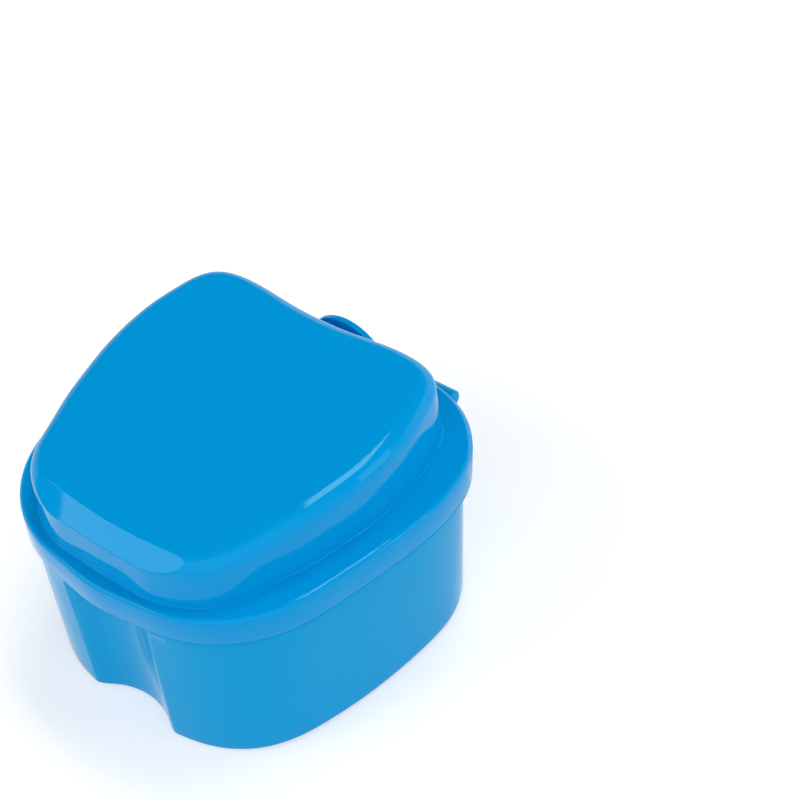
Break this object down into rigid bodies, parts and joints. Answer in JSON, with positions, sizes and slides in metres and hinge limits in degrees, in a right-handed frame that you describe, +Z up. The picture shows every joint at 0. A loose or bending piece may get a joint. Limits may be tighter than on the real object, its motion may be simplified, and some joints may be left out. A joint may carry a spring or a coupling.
{
  "type": "denture case",
  "caption": "Blue denture bath with a hinged domed lid, a finger flute and a lift-out strainer basket.",
  "frame": {"origin": "middle of the footprint of the whole case, at the height of the face it stands on", "axes": "+Z up, +Y towards the hinge and the tongue, -Y towards the finger flute, +X across the lid to the right seen from the flute"},
  "size_m": [0.085, 0.0828, 0.056],
  "materials": {
    "tank_plastic": "glossy light blue, moulded",
    "lid_plastic": "glossy light blue, moulded",
    "basket_plastic": "satin white, moulded",
    "pin_steel": "drawn wire"
  },
  "bodies": {
    "tank": {"tank": "tank_plastic", "hinge_pin": "pin_steel"},
    "lid": {"lid": "lid_plastic"},
    "basket": {"strainer_basket": "basket_plastic"}
  },
  "joints": [
    {"name": "lid_hinge", "type": "hinge", "parent": "tank", "child": "lid", "pos_m": [0, 0.03939, 0.0375], "axis": [-1, 0, 0], "range_deg": [0, 130]},
    {"name": "basket_lift", "type": "slide", "parent": "tank", "child": "basket", "axis": [0, 0, 1], "range_m": [0, 0.0318]}
  ],
  "couplings": [
    {"joint": "basket_lift", "follows": "lid_hinge", "m_per_rad": 0.014}
  ]
}
